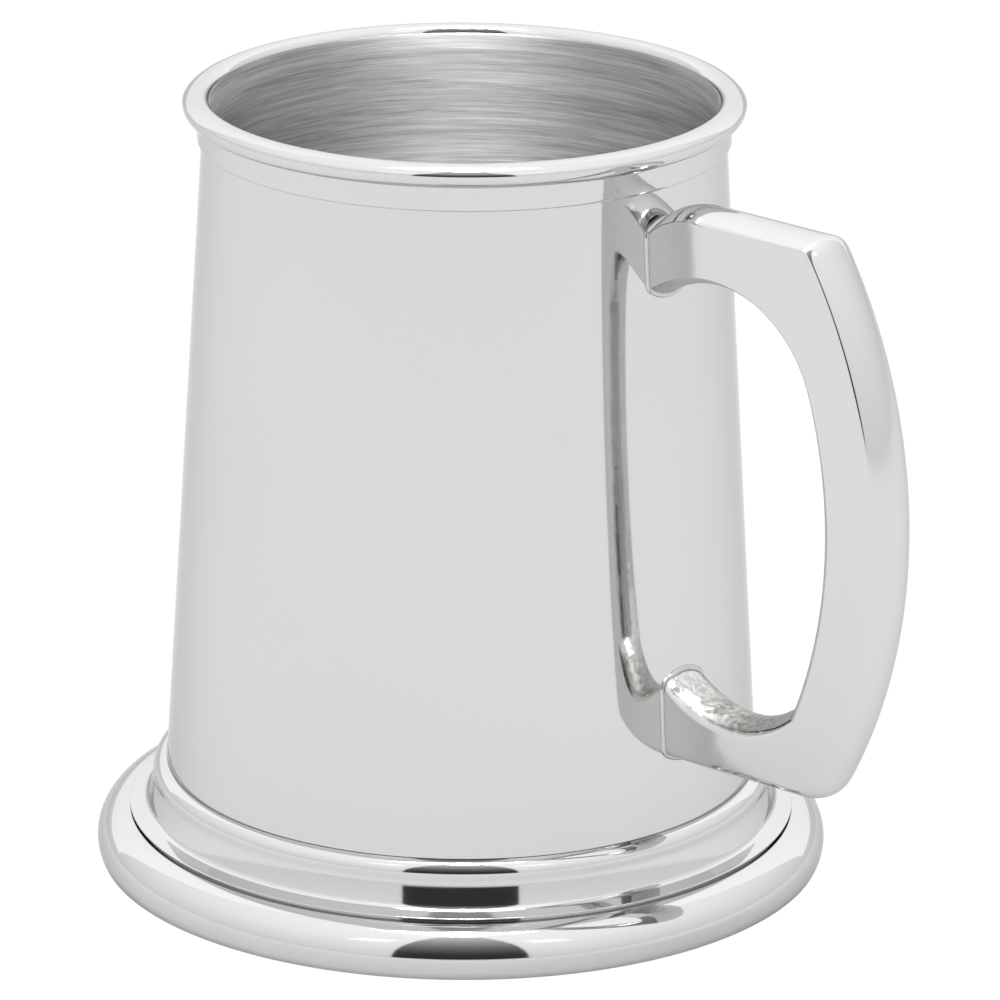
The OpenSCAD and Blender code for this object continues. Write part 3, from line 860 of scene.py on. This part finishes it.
upper_flare_x = min(arch_x, drum_r(arm_z - ARM_DEPTH) + FLARE_OUT)
upper_root_x = drum_r(arm_z - ARM_DEPTH - FLARE_DROP)
upper_low = arch_height(upper_root_x, arch_x, arch_z, ARCH_R, 1, upper_flare_x)
lower_flare_x = min(low_arch_x, drum_r(low_arm_z + FOOT_ARM_DEPTH) + FLARE_OUT)
lower_root_x = drum_r(low_arm_z + FOOT_ARM_DEPTH + FLARE_DROP)
lower_high = arch_height(lower_root_x, low_arch_x, low_arch_z, LOW_ARCH_R, -1, lower_flare_x)
belongs(collar("upper_collar", upper_low, root_top_z), "upper_handle_solder")
belongs(collar("lower_collar", low_arm_z, lower_high), "lower_handle_solder")

# %% [markdown]
# ## Floor, light and camera
#
# Polished metal has no look of its own: it shows the room. So silver is photographed in a white tent, and
# the only dark thing in it is the open front that the camera looks through. Here the world is the tent, the
# floor is a pale sheet, and one tall dark screen stands for the opening. The screen shows only in
# reflections. The camera sees a sheet of white paper instead of the floor, as a picture for a catalogue
# would have.

# %% The pale floor
FLOOR = 4.0
VIEW_AZIMUTH = math.radians(41.5)
VIEW_RISE = math.radians(18.49)
to_camera = Vector((math.sin(VIEW_AZIMUTH), -math.cos(VIEW_AZIMUTH), 0))
scene = bpy.context.scene
scene.view_settings.view_transform = "Standard"


def plain_sheet(name, corners, strength=None, shade="#FFFFFF"):
    """A flat sheet of the studio: matt when it has no strength of its own, and a plain glow when it has."""
    mesh = bpy.data.meshes.new(name)
    mesh.from_pydata([tuple(c) for c in corners], [], [tuple(range(len(corners)))])
    sheet = bpy.data.objects.new(name, mesh)
    scene.collection.objects.link(sheet)
    material = bpy.data.materials.new(name)
    material.use_nodes = True
    tree = material.node_tree
    tree.nodes.clear()
    if strength is None:
        surface = add(tree, "ShaderNodeBsdfDiffuse", inputs={"Color": colour(shade)})
    else:
        surface = add(tree, "ShaderNodeEmission", inputs={"Color": colour(shade), "Strength": strength})
    add(tree, "ShaderNodeOutputMaterial", inputs={"Surface": surface.outputs[0]})
    mesh.materials.append(material)
    return sheet


def seen_only_by(sheet, ray):
    """Keeps a sheet for one kind of ray: the camera's, or the reflected ones."""
    for other in ("camera", "glossy", "diffuse", "shadow", "transmission"):
        setattr(sheet, "visible_" + other, other == ray)
    return sheet


def card(name, corners, strength):
    """A glowing or dark card that only shows in reflections."""
    return seen_only_by(plain_sheet(name, corners, strength), "glossy")


def square(half, height=0.0):
    """Corners of a level square about the axis, facing up."""
    return [(-half, -half, height), (half, -half, height), (half, half, height), (-half, half, height)]


floor = plain_sheet("floor", square(FLOOR), shade="#E3E3E3")
floor.visible_camera = False
seen_only_by(plain_sheet("white_paper", square(FLOOR, -0.5 * MM), strength=1.03), "camera")

# %% The white tent and its open front
world = bpy.data.worlds.new("tent")
scene.world = world
world.use_nodes = True
background = world.node_tree.nodes["Background"]
background.inputs["Color"].default_value = (1, 1, 1, 1)
sky = add(world.node_tree, "ShaderNodeTexCoord").outputs["Generated"]
sky_height = add(world.node_tree, "ShaderNodeSeparateXYZ", inputs={0: sky}).outputs["Z"]
brighter_up = add(world.node_tree, "ShaderNodeMapRange",
                  inputs={"Value": sky_height, "To Min": 0.86, "To Max": 1.3})
world.node_tree.links.new(brighter_up.outputs[0], background.inputs["Strength"])

OPENING_AWAY = 1.4
OPENING_HALF = 0.37 * OPENING_AWAY
OPENING_LOW = 0.055 * OPENING_AWAY
OPENING_HIGH = 5.5 * OPENING_AWAY
across = Vector((-to_camera.y, to_camera.x, 0))


def upright(away, sideways, half, low, high):
    """Corners of an upright card that faces the tankard, from a low to a high edge."""
    middle = to_camera * away + across * sideways
    foot, head = Vector((0, 0, low)), Vector((0, 0, high))
    return [middle - across * half + foot, middle + across * half + foot,
            middle + across * half + head, middle - across * half + head]


def fade(sheet, shades):
    """Gives a card a glow that changes with height: pairs of height, as a share of its distance, and glow."""
    tree = sheet.data.materials[0].node_tree
    glow = next(node for node in tree.nodes if node.type == "EMISSION")
    place = add(tree, "ShaderNodeTexCoord").outputs["Object"]
    height = add(tree, "ShaderNodeSeparateXYZ", inputs={0: place}).outputs["Z"]
    share = add(tree, "ShaderNodeMapRange", inputs={"Value": height, "From Max": OPENING_HIGH})
    ramp = add(tree, "ShaderNodeValToRGB", inputs={"Fac": share.outputs[0]})
    stops = ramp.color_ramp.elements
    stops.remove(stops[1])
    for slope, strength in shades:
        stop = stops.new(slope * OPENING_AWAY / OPENING_HIGH) if slope else stops[0]
        stop.color = (strength, strength, strength, 1)
    tree.links.new(ramp.outputs["Color"], glow.inputs["Color"])


opening = card("opening", upright(OPENING_AWAY, 0, OPENING_HALF, OPENING_LOW, OPENING_HIGH), 1.0)
fade(opening, [(0.0, 0.03), (0.34, 0.05), (0.82, 0.18), (1.35, 0.35), (2.47, 0.56), (5.5, 0.74)])

# %% The bright sides, the bright back, and a small card that lights the inside of the cup
for name, side in (("left_glow", -1), ("right_glow", 1)):
    card(name, upright(away=1.2, sideways=side * 0.86, half=0.22, low=1.55, high=2.45), strength=1.5)
card("back_glow", upright(away=-1.5, sideways=0, half=1.6, low=0.3, high=3.2), strength=1.35)
card("cup_glow", square(half=0.07, height=0.5), strength=90.0)

# %% The lamp
LAMP_HEIGHT = 2.2
LAMP_SIZE = 1.6
LAMP_POWER = 12

lamp_data = bpy.data.lights.new("top_fill", "AREA")
lamp_data.shape = "SQUARE"
lamp_data.size = LAMP_SIZE
lamp_data.energy = LAMP_POWER
lamp = bpy.data.objects.new("top_fill", lamp_data)
scene.collection.objects.link(lamp)
lamp.location = (0, 0, LAMP_HEIGHT)
lamp.rotation_euler = Vector((0, 0, -1)).to_track_quat("-Z", "Y").to_euler()
lamp.visible_glossy = False

# %% The camera
LENS = 245.8
DISTANCE = 1.0367
TARGET = Vector((0, 0, 59.16 * MM))
AIM_RIGHT = 5.68 * MM
AIM_DOWN = 3.26 * MM
ROLL = math.radians(0.30)
back = (to_camera * math.cos(VIEW_RISE) + Vector((0, 0, math.sin(VIEW_RISE)))).normalized()
right = Vector((0, 0, 1)).cross(back).normalized()
up = back.cross(right)
camera_data = bpy.data.cameras.new("camera")
camera_data.lens = LENS
camera_data.clip_end = 50
camera = bpy.data.objects.new("camera", camera_data)
scene.collection.objects.link(camera)
eye = TARGET + back * DISTANCE
look = (TARGET + right * AIM_RIGHT - up * AIM_DOWN - eye).normalized()
level_right = look.cross(up).normalized()
turned_up = level_right.cross(look)
basis = Matrix((level_right, turned_up, -look)).transposed().to_4x4()
camera.matrix_world = Matrix.Translation(eye) @ basis @ Matrix.Rotation(ROLL, 4, "Z")
scene.camera = camera
print("the camera stands", round(eye.length, 3), "m away")

# %% Update the scene and print the frame's box
bpy.context.view_layer.update()
print("frame box", [[round(v / MM, 2) for v in c] for c in cad_box])
